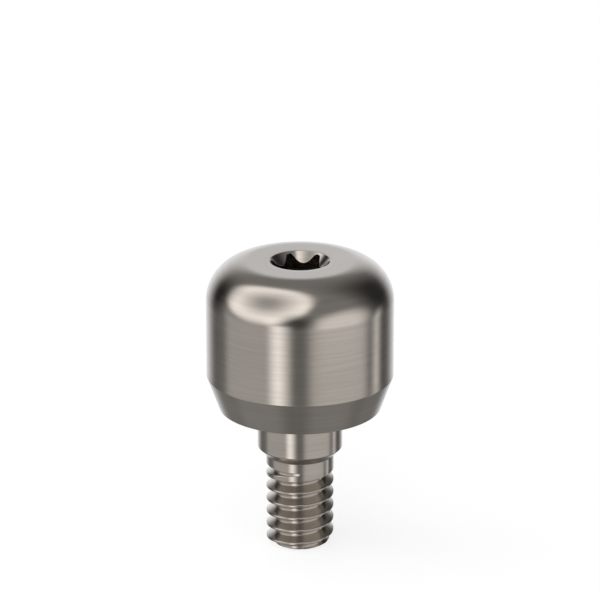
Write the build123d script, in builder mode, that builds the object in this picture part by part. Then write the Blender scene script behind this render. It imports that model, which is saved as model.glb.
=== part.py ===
"""Dental healing abutment, turned from one titanium bar.

The abutment is screwed into a dental implant while the gum heals round it. From the top down
it has a domed cylindrical head with a six-lobed drive socket, a taper, a stub that centres it,
a plain neck and a fine thread.

Sizes are in millimetres. Z runs up the turning axis. The origin is on the axis at the seat,
which is the flat underside of the head.
"""

from build123d import *
from math import atan2, ceil, cos, degrees, radians, sin, tan
import os

os.makedirs("parts", exist_ok=True)

# Head
HEAD_DIAMETER = 5.5
HEAD_HEIGHT = 4.5
DOME_RADIUS = 1.2
TAPER_HEIGHT = 1.0
TAPER_ANGLE = 20.0
SEAT_EDGE_BREAK = 0.03

# Stub under the seat
STUB_DIAMETER = 2.5
STUB_LENGTH = 1.25
STUB_CHAMFER_ANGLE = 45.0

# Plain neck, then a metric thread down to the tip
THREAD_DIAMETER = 2.0
THREAD_PITCH = 0.4
THREAD_ANGLE = 60.0
NECK_LENGTH = 0.33
STEM_LENGTH = 4.31
TIP_CHAMFER_ANGLE = 32.0
RUNOUT_DEGREES = 110.0
THREAD_END_DIRECTION = 270.0

# Drive socket
MOUTH_DIAMETER = 1.78
MOUTH_CONE_ANGLE = 82.0
MOUTH_EDGE_BREAK = 0.02
LOBE_DIAMETER = 1.71
RIDGE_DIAMETER = 1.28
LOBE_TIP_RADIUS = 0.14
LOBE_COUNT = 6
LOBE_DEPTH = 1.5
RIDGE_DIRECTION = 82.0
PILOT_DIAMETER = 1.2
PILOT_DEPTH = 1.8
PILOT_POINT_ANGLE = 118.0

# How far the cutters stand out of the metal that they cut
CUTTER_CLEARANCE = 0.02

# Turned profile
head_radius = HEAD_DIAMETER / 2
seat_radius = head_radius - TAPER_HEIGHT * tan(radians(TAPER_ANGLE))
stub_radius = STUB_DIAMETER / 2
stem_radius = THREAD_DIAMETER / 2
neck_top = -STUB_LENGTH - (stub_radius - stem_radius) / tan(radians(STUB_CHAMFER_ANGLE))

# Thread form: crests are an eighth of the pitch wide, and the depth is 17/24 of the height of
# the sharp triangle, which leaves a root a sixth of the pitch wide
flank_slope = tan(radians(THREAD_ANGLE / 2))
sharp_height = THREAD_PITCH / 2 / flank_slope
thread_depth = sharp_height * 17 / 24
root_radius = stem_radius - thread_depth
root_width = THREAD_PITCH * 7 / 8 - 2 * thread_depth * flank_slope
groove_width = root_width + 2 * (thread_depth + CUTTER_CLEARANCE) * flank_slope
tip_chamfer_height = thread_depth * tan(radians(TIP_CHAMFER_ANGLE))

# The groove is at full depth up to the run-out, where the tool backs out on a widening helix
runout_height = THREAD_PITCH * RUNOUT_DEGREES / 360
runout_bottom = neck_top - NECK_LENGTH - runout_height
runout_direction = THREAD_END_DIRECTION - RUNOUT_DEGREES
runout_cone_angle = degrees(atan2(thread_depth + CUTTER_CLEARANCE, runout_height))
groove_turns = ceil((runout_bottom + STEM_LENGTH) / THREAD_PITCH) + 1
groove_height = groove_turns * THREAD_PITCH

# Socket: the ridge arcs are tangent to the lobe arcs, which sets their radius
mouth_radius = MOUTH_DIAMETER / 2
pilot_radius = PILOT_DIAMETER / 2
mouth_cone_depth = (mouth_radius - pilot_radius) / tan(radians(MOUTH_CONE_ANGLE / 2))
pilot_bottom = HEAD_HEIGHT - PILOT_DEPTH
pilot_point_height = pilot_radius / tan(radians(PILOT_POINT_ANGLE / 2))
lobe_radius = LOBE_DIAMETER / 2
ridge_radius = RIDGE_DIAMETER / 2
half_step = 180 / LOBE_COUNT
lobe_centre = lobe_radius - LOBE_TIP_RADIUS
half_step_cos = cos(radians(half_step))
ridge_arc_radius = (
    LOBE_TIP_RADIUS**2 - ridge_radius**2 - lobe_centre**2
    + 2 * ridge_radius * lobe_centre * half_step_cos
) / (2 * (ridge_radius - lobe_centre * half_step_cos - LOBE_TIP_RADIUS))
ridge_centre = ridge_radius + ridge_arc_radius


def polar(radius, direction):
    """Point of the socket's outline, from its distance and direction in degrees."""
    return Vector(radius * cos(radians(direction)), radius * sin(radians(direction)))


def groove_section(height):
    """Section of the thread groove, in the plane through the axis, centred at a height."""
    with BuildSketch(Plane.XZ) as section:
        with BuildLine():
            Polyline(
                (root_radius, height - root_width / 2),
                (stem_radius + CUTTER_CLEARANCE, height - groove_width / 2),
                (stem_radius + CUTTER_CLEARANCE, height + groove_width / 2),
                (root_radius, height + root_width / 2),
                close=True,
            )
        make_face()
    return section.sketch


# The thread groove, with the start of the run-out at the origin, on +X
with BuildPart() as thread_groove:
    with BuildLine() as full_depth_path:
        Helix(THREAD_PITCH, groove_height, root_radius, center=(0, 0, -groove_height))
    sweep(groove_section(-groove_height), path=full_depth_path.line, is_frenet=True)
    with BuildLine() as runout_path:
        Helix(
            THREAD_PITCH / cos(radians(runout_cone_angle)),
            runout_height,
            root_radius,
            cone_angle=runout_cone_angle,
        )
    sweep(groove_section(0), path=runout_path.line, is_frenet=True)

# The six-lobed drive recess
with BuildPart() as drive_recess:
    with BuildSketch(Plane.XY.offset(HEAD_HEIGHT + CUTTER_CLEARANCE)):
        with BuildLine():
            for i in range(LOBE_COUNT):
                direction = RIDGE_DIRECTION + i * 2 * half_step
                ridge = polar(ridge_centre, direction)
                lobe = polar(lobe_centre, direction + half_step)
                last_lobe = polar(lobe_centre, direction - half_step)
                share = LOBE_TIP_RADIUS / (LOBE_TIP_RADIUS + ridge_arc_radius)
                ridge_start = last_lobe + (ridge - last_lobe) * share
                ridge_end = lobe + (ridge - lobe) * share
                next_ridge = polar(ridge_centre, direction + 2 * half_step)
                lobe_end = lobe + (next_ridge - lobe) * share
                ThreePointArc(ridge_start, polar(ridge_radius, direction), ridge_end)
                ThreePointArc(ridge_end, polar(lobe_radius, direction + half_step), lobe_end)
        make_face()
    extrude(amount=-(LOBE_DEPTH + CUTTER_CLEARANCE))

# The abutment: the turned body with its pilot hole and mouth, less the recess and the groove
with BuildPart() as healing_abutment:
    with BuildSketch(Plane.XZ) as half_section:
        with BuildLine():
            Polyline(
                (0, pilot_bottom - pilot_point_height),
                (pilot_radius, pilot_bottom),
                (pilot_radius, HEAD_HEIGHT - mouth_cone_depth),
                (mouth_radius, HEAD_HEIGHT),
                (head_radius, HEAD_HEIGHT),
                (head_radius, TAPER_HEIGHT),
                (seat_radius, 0),
                (stub_radius, 0),
                (stub_radius, -STUB_LENGTH),
                (stem_radius, neck_top),
                (stem_radius, -STEM_LENGTH + tip_chamfer_height),
                (root_radius, -STEM_LENGTH),
                (0, -STEM_LENGTH),
                close=True,
            )
        make_face()
        # A sketch keeps its own X and Y, so the section's height is Y here
        fillet(half_section.vertices().group_by(Axis.Y)[-1].sort_by(Axis.X)[-1], DOME_RADIUS)
        fillet(half_section.vertices().group_by(Axis.Y)[-1].sort_by(Axis.X)[0], MOUTH_EDGE_BREAK)
        seat_corners = half_section.vertices().filter_by_position(Axis.Y, -0.001, 0.001)
        fillet(seat_corners.sort_by(Axis.X)[-1], SEAT_EDGE_BREAK)
    revolve(axis=Axis.Z)
    add(drive_recess.part, mode=Mode.SUBTRACT)
    with Locations(Location((0, 0, runout_bottom), (0, 0, runout_direction))):
        add(thread_groove.part, mode=Mode.SUBTRACT)

healing_abutment.part.label = "healing_abutment"
export_step(healing_abutment.part, "parts/healing_abutment.step")

print(f"seat diameter {2 * seat_radius:.3f} mm, thread root {2 * root_radius:.3f} mm")
print(f"overall length {HEAD_HEIGHT + STEM_LENGTH:.2f} mm, volume {healing_abutment.part.volume:.2f} mm3")
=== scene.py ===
# %% [markdown]
# # A dental healing abutment
#
# This notebook dresses one small turned part: the titanium screw that a dentist fits into an
# implant while the gum heals round it. It is under nine millimetres long and made in one piece,
# so everything you see is one surface of one metal. The looks come from three things: a clean
# mesh with crisp edges, the fine rings that a lathe leaves, and what the metal reflects.
#
# The CAD model is the frame. We load it first and keep its box, which gives the overall sizes.

# %% Load the frame
import bmesh
import bpy
import numpy as np
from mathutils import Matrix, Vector


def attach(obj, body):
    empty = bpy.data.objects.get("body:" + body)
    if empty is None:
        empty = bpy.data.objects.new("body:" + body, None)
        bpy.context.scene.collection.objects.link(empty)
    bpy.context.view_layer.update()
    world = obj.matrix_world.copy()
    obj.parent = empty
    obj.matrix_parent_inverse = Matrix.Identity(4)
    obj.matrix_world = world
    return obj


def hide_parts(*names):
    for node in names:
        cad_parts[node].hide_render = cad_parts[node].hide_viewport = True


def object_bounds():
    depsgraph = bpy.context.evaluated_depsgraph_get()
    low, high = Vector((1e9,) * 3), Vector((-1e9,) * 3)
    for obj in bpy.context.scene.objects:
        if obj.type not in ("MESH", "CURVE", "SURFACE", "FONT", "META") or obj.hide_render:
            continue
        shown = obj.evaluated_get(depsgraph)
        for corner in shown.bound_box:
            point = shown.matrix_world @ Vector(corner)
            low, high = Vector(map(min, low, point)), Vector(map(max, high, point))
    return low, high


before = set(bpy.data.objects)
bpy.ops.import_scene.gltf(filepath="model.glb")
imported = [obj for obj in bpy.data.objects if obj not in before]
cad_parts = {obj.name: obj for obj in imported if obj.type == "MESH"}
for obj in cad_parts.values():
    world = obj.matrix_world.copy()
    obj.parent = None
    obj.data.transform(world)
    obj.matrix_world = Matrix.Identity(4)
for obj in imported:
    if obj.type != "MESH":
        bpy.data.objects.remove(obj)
cad_low, cad_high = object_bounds()
NODE = "healing_abutment"
MM = 0.001
print("CAD box in mm:", [round(v / MM, 3) for v in (*cad_low, *cad_high)])

# %% [markdown]
# ## Sizes
#
# The mesh has to be the same part as the CAD model, so it starts from the same driving sizes.
# The overall ones are read from the frame. The others are those of the part: a metric thread,
# a six-lobed socket and a few radii. All of them are in millimetres until the mesh is made.

# %% Sizes of the part
HEAD_HEIGHT = cad_high[2] / MM
HEAD_RADIUS = cad_high[0] / MM
TIP_HEIGHT = cad_low[2] / MM
DOME_RADIUS = 1.2
TAPER_HEIGHT = 1.0
TAPER_ANGLE = 20.0
SEAT_RADIUS = HEAD_RADIUS - TAPER_HEIGHT * np.tan(np.radians(TAPER_ANGLE))
STUB_RADIUS = 1.25
STUB_LENGTH = 1.25
STEM_RADIUS = 1.0
NECK_TOP = -STUB_LENGTH - (STUB_RADIUS - STEM_RADIUS)

PITCH = 0.4
FLANK_ANGLE = 30.0
FLANK_SLOPE = np.tan(np.radians(FLANK_ANGLE))
THREAD_DEPTH = PITCH / 2 / FLANK_SLOPE * 17 / 24
ROOT_RADIUS = STEM_RADIUS - THREAD_DEPTH
ROOT_HALF_WIDTH = PITCH / 12
RUNOUT_END = 270.0
RUNOUT_DEGREES = 110.0
NECK_LENGTH = 0.33
TIP_CHAMFER_ANGLE = 32.0
TIP_CHAMFER_HEIGHT = THREAD_DEPTH * np.tan(np.radians(TIP_CHAMFER_ANGLE))

MOUTH_RADIUS = 0.89
MOUTH_BREAK = 0.02
CONE_HALF_ANGLE = 41.0
CONE_SLOPE = np.tan(np.radians(CONE_HALF_ANGLE))
LOBE_RADIUS = 0.855
RIDGE_RADIUS = 0.64
LOBE_TIP_RADIUS = 0.14
LOBE_COUNT = 6
LOBE_DEPTH = 1.5
RIDGE_DIRECTION = 82.0
PILOT_RADIUS = 0.6
PILOT_DEPTH = 1.8
PILOT_POINT_HALF_ANGLE = 59.0
PILOT_POINT = PILOT_RADIUS / np.tan(np.radians(PILOT_POINT_HALF_ANGLE))
print(f"thread root radius {ROOT_RADIUS:.4f} mm, seat radius {SEAT_RADIUS:.4f} mm")

# %% [markdown]
# ## One skin, row by row
#
# A turned part could be made with Blender's Screw modifier, but this one isn't quite round: the
# thread climbs and the socket has six lobes. Both are still simple when seen from the axis, as
# in every direction the surface has one radius. So we make the whole skin as a grid. A column is
# a direction round the axis, and a row is a ring that may rise, fall or bulge on its way round.
#
# A real edge is never perfectly sharp. Each corner of the profile is given a tiny flat, with
# one more row close to each side of it. The close rows hold the shading of the large faces
# still, and the flat catches a thin line of light.

# %% Columns, rings and corners
COLUMNS = 288
EDGE = 0.010
FINE_EDGE = 0.005
column_degrees = np.arange(COLUMNS) * 360.0 / COLUMNS
column_angles = np.radians(column_degrees)


def ring(radius, height):
    """One row of the skin. Each value may be a number or one value for each column."""
    return tuple(np.broadcast_to(value, COLUMNS).astype(float) for value in (radius, height))


def cornered(points, edge=EDGE):
    """Rows along straight runs between profile points, with a small flat at each corner."""
    points = [np.array(ring(radius, height)) for radius, height in points]
    rows = [points[0]]
    for before, here, after in zip(points, points[1:], points[2:]):
        for target, steps in ((before, (2, 1)), (after, (1, 2))):
            way = target - here
            reach = np.minimum(1.0, edge / np.maximum(np.hypot(*way), edge * 3))
            rows += [here + way * reach * step for step in steps]
    rows.append(points[-1])
    return [tuple(row) for row in rows]


def arc(centre_radius, centre_height, radius, start, end, steps):
    """Rows along an arc of the profile. Angles are in degrees from straight outwards."""
    angles = np.radians(np.linspace(start, end, steps + 1))
    return [
        ring(centre_radius + radius * np.cos(angle), centre_height + radius * np.sin(angle))
        for angle in angles
    ]


print("columns:", COLUMNS, "each", 360 / COLUMNS, "degrees wide")

# %% [markdown]
# ## The drive socket
#
# The driver's recess has six lobes and, between them, six ridges. Its outline is twelve arcs
# that run smoothly into each other. The lobe arcs have a small radius, and the radius of the
# ridge arcs follows from that. In each direction we need one number: how far out the wall is.
# Near a ridge it is where the ray meets the near side of the ridge's circle, and near a lobe
# where it leaves the lobe's circle.
#
# A countersink cuts the top off the recess. Where a lobe reaches further out, the cone is
# higher, so the edge between them waves up and down, which is what the eye sees in the mouth.

# %% Outline of the socket
half_step = np.pi / LOBE_COUNT
lobe_centre = LOBE_RADIUS - LOBE_TIP_RADIUS
ridge_arc_radius = (
    LOBE_TIP_RADIUS**2 - RIDGE_RADIUS**2 - lobe_centre**2
    + 2 * RIDGE_RADIUS * lobe_centre * np.cos(half_step)
) / (2 * (RIDGE_RADIUS - lobe_centre * np.cos(half_step) - LOBE_TIP_RADIUS))
ridge_centre = RIDGE_RADIUS + ridge_arc_radius

past_a_lobe = (column_angles - np.radians(RIDGE_DIRECTION) + half_step) % (2 * half_step)
from_ridge = np.abs(past_a_lobe - half_step)
from_lobe = half_step - from_ridge
ridge_ray = np.maximum(ridge_arc_radius**2 - (ridge_centre * np.sin(from_ridge)) ** 2, 0)
lobe_ray = np.maximum(LOBE_TIP_RADIUS**2 - (lobe_centre * np.sin(from_lobe)) ** 2, 0)
ridge_wall = ridge_centre * np.cos(from_ridge) - np.sqrt(ridge_ray)
lobe_wall = lobe_centre * np.cos(from_lobe) + np.sqrt(lobe_ray)

share = LOBE_TIP_RADIUS / (LOBE_TIP_RADIUS + ridge_arc_radius)
join_x = ridge_centre * share + lobe_centre * np.cos(half_step) * (1 - share)
join_y = lobe_centre * np.sin(half_step) * (1 - share)
socket_wall = np.where(from_ridge < np.arctan2(join_y, join_x), ridge_wall, lobe_wall)
cone_edge = HEAD_HEIGHT - (MOUTH_RADIUS - socket_wall) / CONE_SLOPE
print(f"socket wall from {socket_wall.min():.3f} to {socket_wall.max():.3f} mm")

# %% [markdown]
# ## The socket and the head
#
# The rows start at the bottom of the pilot hole, climb the socket's wall, run out over the flat
# top and come down the outside. An arc needs more rows than a straight run: the small one at
# the mouth has five steps and the dome has forty, so that its reflections stay smooth.

# %% Rows of the socket and the head
MOUTH_STEPS = 5
FLAT_STEPS = 5
DOME_STEPS = 40
socket_floor = HEAD_HEIGHT - LOBE_DEPTH
pilot_bottom = HEAD_HEIGHT - PILOT_DEPTH
cone_tilt = 90.0 - CONE_HALF_ANGLE
cone_end = 0.015
break_centre = MOUTH_RADIUS + MOUTH_BREAK * np.tan(np.radians(cone_tilt / 2))

rows = cornered(
    [
        (0.0, pilot_bottom - PILOT_POINT),
        (PILOT_RADIUS, pilot_bottom),
        (PILOT_RADIUS, socket_floor),
        (socket_wall, socket_floor),
        (socket_wall, cone_edge),
        (MOUTH_RADIUS - cone_end, HEAD_HEIGHT - cone_end / CONE_SLOPE),
    ],
    FINE_EDGE,
)
mouth_arc = (break_centre, HEAD_HEIGHT - MOUTH_BREAK, MOUTH_BREAK)
rows += arc(*mouth_arc, 90.0 + cone_tilt, 90.0, MOUTH_STEPS)
thread_top = NECK_TOP - NECK_LENGTH / 3
flat_edge = HEAD_RADIUS - DOME_RADIUS
flat_radii = np.linspace(break_centre, flat_edge, FLAT_STEPS + 1)[1:-1]
rows += [ring(radius, HEAD_HEIGHT) for radius in flat_radii]
rows += arc(flat_edge, HEAD_HEIGHT - DOME_RADIUS, DOME_RADIUS, 90.0, 0.0, DOME_STEPS)
rows += cornered(
    [
        (HEAD_RADIUS, HEAD_HEIGHT - DOME_RADIUS),
        (HEAD_RADIUS, TAPER_HEIGHT),
        (SEAT_RADIUS, 0.0),
        (STUB_RADIUS, 0.0),
        (STUB_RADIUS, -STUB_LENGTH),
        (STEM_RADIUS, NECK_TOP),
        (STEM_RADIUS, thread_top),
    ]
)[1:]
print("rows down to the neck:", len(rows))

# %% [markdown]
# ## The thread
#
# A thread could be an array of a short helical strip, but then its ends need mending by hand.
# Here every row of the thread follows the helix instead. For each column we know where the
# groove's middle is, as it climbs by one pitch a turn. We lay rows at fixed distances above and
# below it: on the crest, on both flanks and in the root. The radius there follows from the
# thread's form.
#
# At the top the tool backs out, so the groove gets shallower over about a third of a turn and
# ends in a thin point at the front. At the tip, a chamfer cuts across the last turn.
#
# After a full round each row has climbed by one turn. So where the last column meets the first,
# a row joins the one that began a turn higher. The first turn has no depth there, and its rows
# move up out of the way.
#
# First the form: how deep the groove is at each point of its way, and the stem's radius there.

# %% Form of the thread
runout_start = RUNOUT_END - RUNOUT_DEGREES
runout_bottom = NECK_TOP - NECK_LENGTH - PITCH * RUNOUT_DEGREES / 360
groove_height = runout_bottom + PITCH * (column_degrees - runout_start) / 360


def groove_depth(degrees):
    """Depth of the groove on its way up, which fades to nothing over the run-out."""
    return THREAD_DEPTH * np.clip((RUNOUT_END - degrees) / RUNOUT_DEGREES, 0, 1)


def stem_radius(height):
    """Radius of the stem for one height in each column."""
    turns_down = np.maximum(np.round((groove_height - height) / PITCH), 0)
    depth = groove_depth(column_degrees - 360 * turns_down)
    aside = np.abs(height - (groove_height - PITCH * turns_down)) - ROOT_HALF_WIDTH
    thread = STEM_RADIUS - np.clip(depth - np.maximum(aside, 0) / FLANK_SLOPE, 0, depth)
    chamfer = ROOT_RADIUS + (height - TIP_HEIGHT) / TIP_CHAMFER_HEIGHT * THREAD_DEPTH
    return np.minimum(thread, chamfer)


print(f"groove: {THREAD_DEPTH:.4f} mm deep, run-out from {runout_start:.0f} degrees")

# %% [markdown]
# ## The thread's rows
#
# Each turn has one row on the crest and four close rows at each of the groove's four corners.
# The tip gets a few level rows for its chamfer. Then all heights are sorted in each column, so
# that no row crosses another where the chamfer cuts the thread.

# %% Rows of the thread
CHAMFER_ROWS = 9
chamfer_top = TIP_HEIGHT + TIP_CHAMFER_HEIGHT
turn_count = int(np.ceil((groove_height.max() - TIP_HEIGHT) / PITCH)) + 1
out_of_the_way = PITCH * np.clip((column_degrees - RUNOUT_END) / (360 - RUNOUT_END), 0, 1)
heights = []
for turn in range(turn_count):
    middle = groove_height - PITCH * turn + (out_of_the_way if turn == 0 else 0)
    depth = groove_depth(column_degrees - 360 * turn)
    crest_offset = ROOT_HALF_WIDTH + depth * FLANK_SLOPE
    heights.append(middle + PITCH / 2)
    for side in (1, -1):
        for offset in (crest_offset, ROOT_HALF_WIDTH + 0 * depth):
            heights += [middle + side * offset + step * FINE_EDGE for step in (-2, -1, 1, 2)]
rows_a_turn = len(heights) // turn_count
heights += [ring(0, height)[1] for height in np.linspace(TIP_HEIGHT, chamfer_top, CHAMFER_ROWS)]
heights = np.clip(np.array(heights), TIP_HEIGHT, thread_top)
heights = -np.sort(-heights, axis=0)
thread_start = len(rows)
rows += [(stem_radius(height), height) for height in heights]
rows.append(ring(0.0, TIP_HEIGHT))

joins = np.arange(len(rows))
joins[thread_start:-1] = np.maximum(joins[thread_start:-1] - rows_a_turn, thread_start - 1)
print("turns:", turn_count, "rows a turn:", rows_a_turn, "rows in all:", len(rows))

# %% [markdown]
# ## From rows to a mesh
#
# The first and last rows lie on the axis and become one point each. Rows that were clipped at
# the neck or the tip lie on top of each other, so we merge points that share a place, which
# leaves a closed skin. Closed matters: light and the checks both need to know what is inside.

# %% Make the mesh
SAME_PLACE = 0.00002 * MM
NO_LENGTH = 0.00001 * MM
SHARP_ANGLE = 50.0


def skin_mesh(name, rows, joins):
    """Closed mesh through rows of points. Where it closes, each row joins the one in joins."""
    radii = np.array([row[0] for row in rows])
    levels = np.array([row[1] for row in rows])
    points = np.stack([radii * np.cos(column_angles), radii * np.sin(column_angles), levels], -1)
    row_count = len(rows)
    index = np.arange(row_count * COLUMNS).reshape(row_count, COLUMNS)
    right = np.roll(index, -1, axis=1)
    right[:, -1] = index[joins, 0]
    quads = np.stack([index[:-1], index[1:], right[1:], right[:-1]], -1).reshape(-1, 4)
    mesh = bpy.data.meshes.new(name)
    mesh.from_pydata((points.reshape(-1, 3) * MM).tolist(), [], quads.tolist())
    work = bmesh.new()
    work.from_mesh(mesh)
    bmesh.ops.remove_doubles(work, verts=work.verts, dist=SAME_PLACE)
    bmesh.ops.dissolve_degenerate(work, edges=work.edges, dist=NO_LENGTH)
    bmesh.ops.recalc_face_normals(work, faces=work.faces)
    open_edges = sum(not edge.is_manifold for edge in work.edges)
    volume = work.calc_volume() / MM**3
    print(f"faces {len(work.faces)}, open edges {open_edges}, volume {volume:.2f} mm3")
    work.to_mesh(mesh)
    work.free()
    mesh.shade_smooth()
    mesh.set_sharp_from_angle(angle=np.radians(SHARP_ANGLE))
    return mesh


skin = skin_mesh("abutment_body", rows, joins)
abutment = bpy.data.objects.new("abutment_body", skin)
bpy.context.scene.collection.objects.link(abutment)
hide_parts(NODE)
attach(abutment, "root")

# %% [markdown]
# ## Small tools for node trees
#
# The metal and the studio are both made of shader nodes. Made one by one they would take
# hundreds of lines, so a few short helpers add a node, feed its inputs, do a sum, turn a number
# into a smooth ramp, or blend two colours. Every node gets a plain label, which shows in the
# Shader Editor.

# %% Node helpers
def add_node(tree, kind, label, **settings):
    """A node with a plain label and its settings."""
    node = tree.nodes.new(kind)
    node.label = label
    for key, value in settings.items():
        setattr(node, key, value)
    return node


def feed(tree, socket, value):
    """Set an input socket to a value, or link it to another node's output."""
    if isinstance(value, bpy.types.NodeSocket):
        tree.links.new(value, socket)
    else:
        socket.default_value = value


def math_node(tree, operation, label, *inputs):
    """A Math node. Each input is a number or another node's output socket."""
    node = add_node(tree, "ShaderNodeMath", label, operation=operation)
    for socket, value in zip(node.inputs, inputs):
        feed(tree, socket, value)
    return node.outputs[0]


def ramp_node(tree, label, value, start, end, low=0.0, high=1.0):
    """Goes smoothly from low to high while the value goes from start to end."""
    node = add_node(tree, "ShaderNodeMapRange", label, interpolation_type="SMOOTHSTEP")
    for name, number in (("From Min", start), ("From Max", end), ("To Min", low), ("To Max", high)):
        node.inputs[name].default_value = number
    feed(tree, node.inputs["Value"], value)
    return node.outputs[0]


def mix_node(tree, label, factor, first, second):
    """Blend of two colours."""
    # A Mix node has sockets for every type of data. For colours, the inputs are 0, 6 and 7
    node = add_node(tree, "ShaderNodeMix", label, data_type="RGBA")
    for socket, value in ((0, factor), (6, first), (7, second)):
        feed(tree, node.inputs[socket], value)
    return node.outputs[2]


print("node helpers: add_node, feed, math_node, ramp_node, mix_node")

# %% [markdown]
# ## Turned titanium
#
# Titanium is a warm grey metal. Light that has been reflected once is a little warm, and in the
# thread, where it bounces twice, it turns brown. That comes by itself from the metal's colour.
#
# A lathe leaves rings that are finer than a tenth of a millimetre. They show as faint lines
# round the wall of the head and the stub. Modelling them would take millions of faces, so they
# are a bump: noise that is dense along the height and slow round the part. The top and the dome
# are polished and the thread is cut clean, so the rings fade out there.

# %% The titanium
TITANIUM_DARK = (0.560, 0.511, 0.460, 1)
TITANIUM_LIGHT = (0.590, 0.539, 0.486, 1)
TONE_SPAN = (0.35, 0.65)
ROUGHNESS_SPAN = (0.3, 0.7)
ROUGHNESS_RANGE = (0.14, 0.18)

# Scale across the part and along its height, each for a metre, and detail
RING_NOISE = (350.0, 12000.0, 3.0)
STREAK_NOISE = (300.0, 5000.0, 2.0)

# Depth of the rings, and the heights between which they fade
RING_RELIEF = 0.004 * MM
RING_STRENGTH = 0.2
DOME_FADE = (3.1 * MM, 3.5 * MM)
THREAD_FADE = (-1.95 * MM, -1.75 * MM)


def turned_titanium():
    """Warm grey metal with fine lathe rings between a polished dome and the thread."""
    material = bpy.data.materials.new("turned_titanium")
    material.use_nodes = True
    tree = material.node_tree
    shader = tree.nodes["Principled BSDF"]
    shader.inputs["Metallic"].default_value = 1.0
    place = add_node(tree, "ShaderNodeTexCoord", "place on the part")
    parts = add_node(tree, "ShaderNodeSeparateXYZ", "x, y and height")
    tree.links.new(place.outputs["Object"], parts.inputs[0])
    x, y, z = parts.outputs

    def ring_noise(label, across, dense, detail):
        """Noise that changes slowly round the part and quickly along its height."""
        spot = add_node(tree, "ShaderNodeCombineXYZ", label)
        for socket, value, scale in ((0, x, across), (1, y, across), (2, z, dense)):
            tree.links.new(math_node(tree, "MULTIPLY", label, value, scale), spot.inputs[socket])
        noise = add_node(tree, "ShaderNodeTexNoise", label)
        noise.inputs["Scale"].default_value = 1.0
        noise.inputs["Detail"].default_value = detail
        tree.links.new(spot.outputs[0], noise.inputs["Vector"])
        return noise.outputs["Fac"]

    rings = ring_noise("lathe rings", *RING_NOISE)
    streaks = ring_noise("streaks", *STREAK_NOISE)
    below_dome = ramp_node(tree, "rings fade on the dome", z, *DOME_FADE, RING_STRENGTH, 0.0)
    above_thread = ramp_node(tree, "rings fade on the thread", z, *THREAD_FADE)

    ring_tone = ramp_node(tree, "tone by ring", rings, *TONE_SPAN)
    even_tone = math_node(tree, "MULTIPLY", "even on the thread", ring_tone, above_thread)
    colour = mix_node(tree, "titanium tone", even_tone, TITANIUM_DARK, TITANIUM_LIGHT)
    tree.links.new(colour, shader.inputs["Base Color"])
    roughness = ramp_node(tree, "roughness", streaks, *ROUGHNESS_SPAN, *ROUGHNESS_RANGE)
    tree.links.new(roughness, shader.inputs["Roughness"])

    relief = math_node(tree, "MULTIPLY", "where the rings are", below_dome, above_thread)
    bump = add_node(tree, "ShaderNodeBump", "ring relief")
    bump.inputs["Distance"].default_value = RING_RELIEF
    tree.links.new(relief, bump.inputs["Strength"])
    tree.links.new(rings, bump.inputs["Height"])
    tree.links.new(bump.outputs[0], shader.inputs["Normal"])
    return material


abutment.data.materials.append(turned_titanium())
print("material:", abutment.data.materials[0].name)

# %% [markdown]
# ## The floor
#
# A small product is often shown on white paper that is lit from below, so that its own shadow
# almost goes away. Here the paper glows a little, which does the same. The metal doesn't mirror
# it: what the metal shows is left to the studio's lights.

# %% Floor
FLOOR_HALF_SIZE = 0.6
PAPER = (0.42, 0.42, 0.42, 1)
PAPER_GLOW = 0.78
WHITE = (1, 1, 1, 1)


def flat_sheet(name, half_size, height):
    """A square sheet facing up."""
    mesh = bpy.data.meshes.new(name)
    corners = [(-1, -1), (1, -1), (1, 1), (-1, 1)]
    points = [(x * half_size, y * half_size, height) for x, y in corners]
    mesh.from_pydata(points, [], [(0, 1, 2, 3)])
    sheet = bpy.data.objects.new(name, mesh)
    bpy.context.scene.collection.objects.link(sheet)
    return sheet


floor = flat_sheet("floor", FLOOR_HALF_SIZE, cad_low[2])
paper = bpy.data.materials.new("white_paper")
paper.use_nodes = True
paper_shader = paper.node_tree.nodes["Principled BSDF"]
paper_shader.inputs["Base Color"].default_value = PAPER
paper_shader.inputs["Roughness"].default_value = 0.9
paper_shader.inputs["Emission Color"].default_value = WHITE
paper_shader.inputs["Emission Strength"].default_value = PAPER_GLOW
floor.data.materials.append(paper)
floor.visible_glossy = False
print("floor height in mm:", round(cad_low[2] / MM, 3))

# %% [markdown]
# ## The lights
#
# Metal has no look of its own: it shows what stands round it. A polished cylinder turns a tall
# light into a bright stripe and a dark gap into a dark one. So the studio is a world of one
# shade, and lights are painted over it one by one. Round soft ones hang over and beside the
# part. Low bands stand round it, at the height that its upright walls and its taper mirror. A
# low brightness paints a dark gap, and a later light covers an earlier one.
#
# All angles are in degrees, as seen from the part. An azimuth of 0 is towards the camera and 90
# is to the right. An elevation of 90 is straight up.

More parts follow.
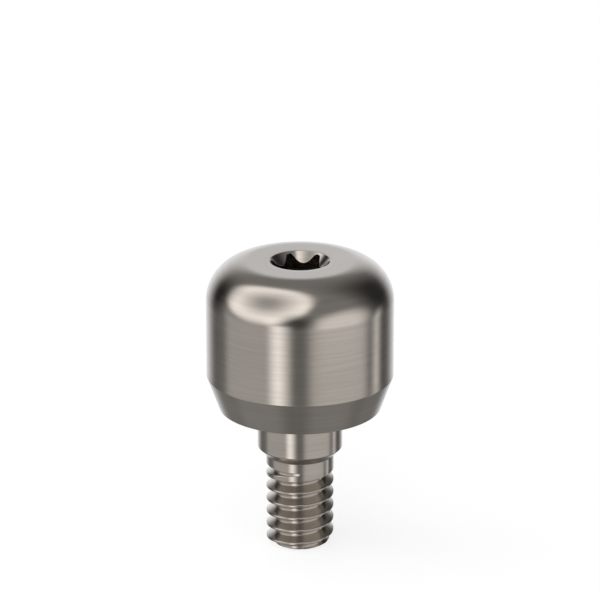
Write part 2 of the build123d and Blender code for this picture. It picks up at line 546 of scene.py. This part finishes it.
# %% Lights of the studio
SHADE = 0.24
PLAIN = (1.0, 1.0, 1.0)
COOL = (0.96, 1.0, 1.05)
ROUND_LIGHTS = [
    # azimuth, elevation, half width, half height, softness, brightness, colour
    (-54.5, 40.5, 50.0, 50.0, 0.15, 1.43, PLAIN),
    (-53.0, 47.5, 23.5, 24.5, 0.90, 0.44, PLAIN),
    (-124.6, 11.0, 20.0, 26.0, 0.80, 0.02, PLAIN),
    (56.0, 22.0, 32.0, 24.0, 0.50, 0.27, PLAIN),
    (119.0, 18.5, 27.0, 40.0, 0.75, 0.03, PLAIN),
    (182.0, -6.0, 35.5, 30.0, 0.59, 1.03, COOL),
    (50.5, -8.0, 35.0, 26.5, 0.48, 0.98, PLAIN),
    (-2.8, 1.5, 16.0, 18.0, 0.90, 0.06, PLAIN),
]
LOW_BANDS = [
    # azimuth, half width, lowest, highest, side softness, end softness, brightness
    (0.0, 190.0, -95.0, -46.0, 5.0, 5.0, 0.20),
    (-27.0, 10.0, -33.0, -7.0, 12.0, 6.3, 1.45),
    (-71.5, 30.0, -40.0, -5.5, 7.8, 20.0, 0.53),
    (49.5, 34.5, -40.0, -17.9, 11.0, 3.5, 0.57),
    (107.5, 5.0, -35.0, -8.3, 9.0, 9.5, 0.90),
    (-74.0, 42.0, -78.0, -46.0, 16.0, 5.0, 0.30),
    (54.0, 38.0, -78.0, -46.0, 16.0, 5.0, 0.29),
    (0.0, 190.0, -95.0, -66.0, 5.0, 4.0, 0.14),
]
print("lights:", len(ROUND_LIGHTS), "round and", len(LOW_BANDS), "low bands")

# %% [markdown]
# ## The shape of a light
#
# Area lamps could make the same stripes, but each would need its size, place and power tuned
# together, and lamps can't make soft dark gaps. In the world's shader, a light is just a shape
# in a direction. For a round one we measure how far a direction is from the light's middle, on
# a flat map round it. For a band we look at the azimuth and the elevation. Both give 1 inside,
# 0 outside and a smooth slope between.

# %% Inside a light
def along(tree, way, label, vector):
    """How far a direction points along a vector."""
    node = add_node(tree, "ShaderNodeVectorMath", label, operation="DOT_PRODUCT")
    tree.links.new(way, node.inputs[0])
    node.inputs[1].default_value = vector
    return node.outputs["Value"]


def inside_round(tree, way, middle, height, half_width, half_height, soft):
    """1 inside a round light and 0 outside it."""
    turn, lift = np.radians(middle), np.radians(height)
    centre = (np.sin(turn) * np.cos(lift), -np.cos(turn) * np.cos(lift), np.sin(lift))
    sideways = (np.cos(turn), np.sin(turn), 0)
    upwards = (-np.sin(turn) * np.sin(lift), np.cos(turn) * np.sin(lift), np.cos(lift))
    depth = math_node(tree, "ADD", "depth", along(tree, way, "to the light", centre), 1.0)
    squares = []
    for label, vector, half in (("aside", sideways, half_width), ("above", upwards, half_height)):
        reach = math_node(tree, "MULTIPLY", label, depth, np.tan(np.radians(half / 2)))
        share = math_node(tree, "DIVIDE", label, along(tree, way, label, vector), reach)
        squares.append(math_node(tree, "MULTIPLY", label, share, share))
    rim = math_node(tree, "SQRT", "from the middle", math_node(tree, "ADD", "sum", *squares))
    return ramp_node(tree, "inside", rim, 1 - soft, 1 + soft, 1.0, 0.0)


def inside_band(tree, azimuth, elevation, middle, half_width, low, high, side_soft, end_soft):
    """1 inside a low band and 0 outside it."""
    turned = math_node(tree, "SUBTRACT", "turned", azimuth, np.radians(middle))
    cosine = math_node(tree, "COSINE", "cosine of the turn", turned)
    around = math_node(tree, "ARCCOSINE", "angle aside", cosine)
    edges = [
        (around, half_width - side_soft, half_width + side_soft, 1.0, 0.0),
        (elevation, low - end_soft, low + end_soft, 0.0, 1.0),
        (elevation, high - end_soft, high + end_soft, 1.0, 0.0),
    ]
    inside = 1.0
    for value, start, end, before, after in edges:
        span = np.radians((start, end)).tolist()
        edge = ramp_node(tree, "edge", value, *span, before, after)
        inside = math_node(tree, "MULTIPLY", "inside", edge, inside)
    return inside


print("shapes of light:", inside_round.__name__, inside_band.__name__)

# %% [markdown]
# ## The studio
#
# The world starts as one shade, and each light in turn is blended over what is there. The
# camera itself sees plain white behind everything, as if the paper went on for ever.

# %% Studio world
def studio_world(shade, round_lights, low_bands):
    """World of one shade, with soft lights painted over it one after another."""
    world = bpy.data.worlds.new("studio")
    world.use_nodes = True
    tree = world.node_tree
    way = add_node(tree, "ShaderNodeTexCoord", "direction").outputs["Generated"]
    parts = add_node(tree, "ShaderNodeSeparateXYZ", "direction parts")
    tree.links.new(way, parts.inputs[0])
    x, y, z = parts.outputs
    forward = math_node(tree, "MULTIPLY", "towards the camera", y, -1.0)
    azimuth = math_node(tree, "ARCTAN2", "azimuth", x, forward)
    elevation = math_node(tree, "ARCSINE", "elevation", z)

    level = (shade, shade, shade, 1)
    for *shape, brightness, tint in round_lights:
        colour = (*(brightness * part for part in tint), 1)
        inside = inside_round(tree, way, *shape)
        level = mix_node(tree, "paint a round light", inside, level, colour)
    for *shape, brightness in low_bands:
        colour = (brightness, brightness, brightness, 1)
        inside = inside_band(tree, azimuth, elevation, *shape)
        level = mix_node(tree, "paint a low band", inside, level, colour)

    seen = add_node(tree, "ShaderNodeLightPath", "seen by the camera").outputs["Is Camera Ray"]
    background = tree.nodes["Background"]
    shown = mix_node(tree, "white for the camera", seen, level, WHITE)
    tree.links.new(shown, background.inputs["Color"])
    background.inputs["Strength"].default_value = 1.0
    bpy.context.scene.world = world


studio_world(SHADE, ROUND_LIGHTS, LOW_BANDS)
print("world nodes:", len(bpy.context.scene.world.node_tree.nodes))

# %% [markdown]
# ## Camera
#
# The photograph looks down on the part a little, through a long lens, which keeps its sides
# almost parallel. The camera points at the middle of the picture, which lies inside the head.
# The Standard view keeps the lights' levels as they are painted.

# %% Camera
CAMERA_DISTANCE = 109.2 * MM
CAMERA_LENS = 224.4
CAMERA_DOWN = np.radians(19.53)
AIM = Vector((0, 0, 3.279 * MM))
back = Vector((0, -np.cos(CAMERA_DOWN), np.sin(CAMERA_DOWN)))
camera = bpy.data.objects.new("camera", bpy.data.cameras.new("camera"))
camera.data.lens = CAMERA_LENS
camera.data.sensor_width = 36.0
camera.data.clip_start = 0.001
camera.location = AIM + back * CAMERA_DISTANCE
camera.rotation_euler = (-back).to_track_quat("-Z", "Y").to_euler()
bpy.context.scene.collection.objects.link(camera)
bpy.context.scene.camera = camera
bpy.context.scene.view_settings.view_transform = "Standard"
print("camera: lens", CAMERA_LENS, "mm, looking down", round(np.degrees(CAMERA_DOWN), 2), "degrees")
